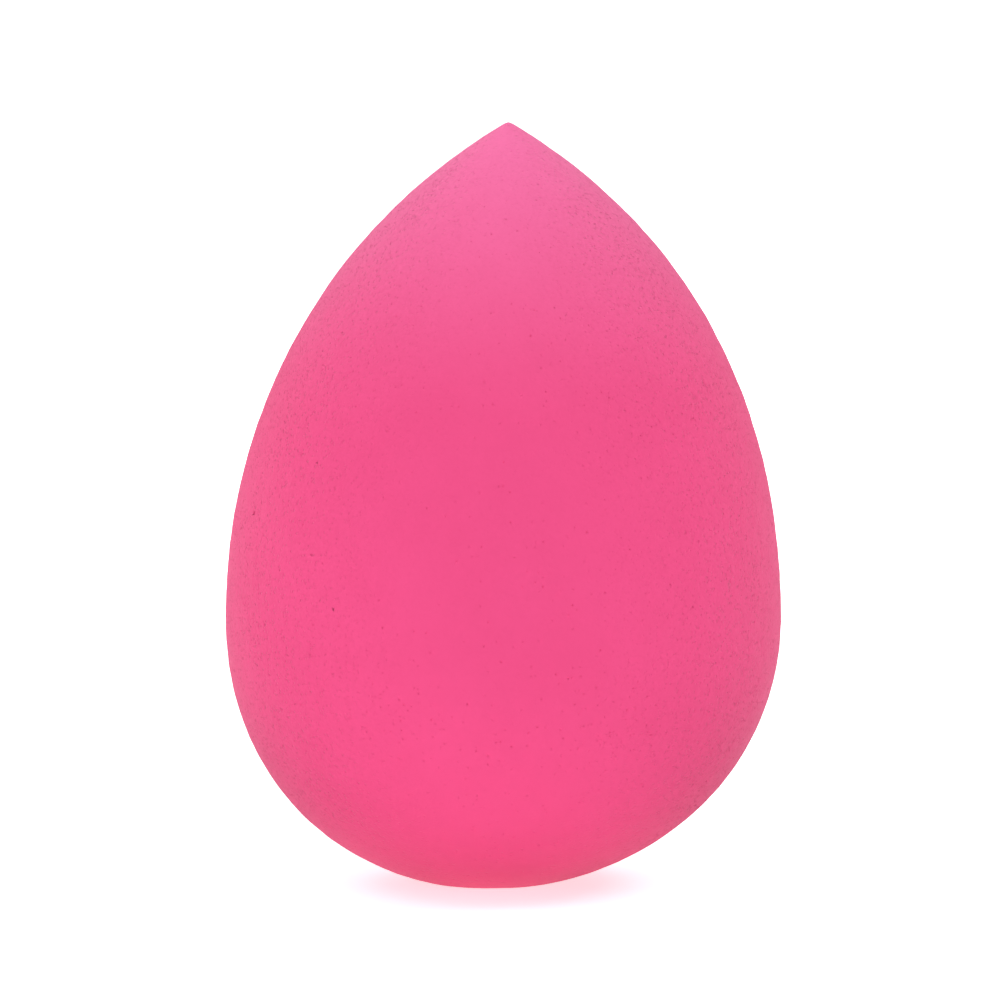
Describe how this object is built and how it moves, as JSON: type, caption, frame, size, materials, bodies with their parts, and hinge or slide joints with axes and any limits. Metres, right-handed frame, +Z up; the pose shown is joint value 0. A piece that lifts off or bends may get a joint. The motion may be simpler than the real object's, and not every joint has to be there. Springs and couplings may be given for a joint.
{
  "type": "makeup sponge",
  "caption": "Teardrop makeup sponge of soft matte pink foam, with a pointed tip for corners and a round base for blending.",
  "frame": {"origin": "centre of the small flat at the base, where the sponge stands", "axes": "+Z up along the axis of the teardrop, towards the tip; +X to the right and -Y towards the viewer in the picture"},
  "size_m": [0.0434, 0.0434, 0.0595],
  "materials": {
    "foam": "matte open-cell polyurethane foam with fine pores, slightly velvety"
  },
  "bodies": {
    "root": {"sponge": "foam"}
  },
  "joints": []
}
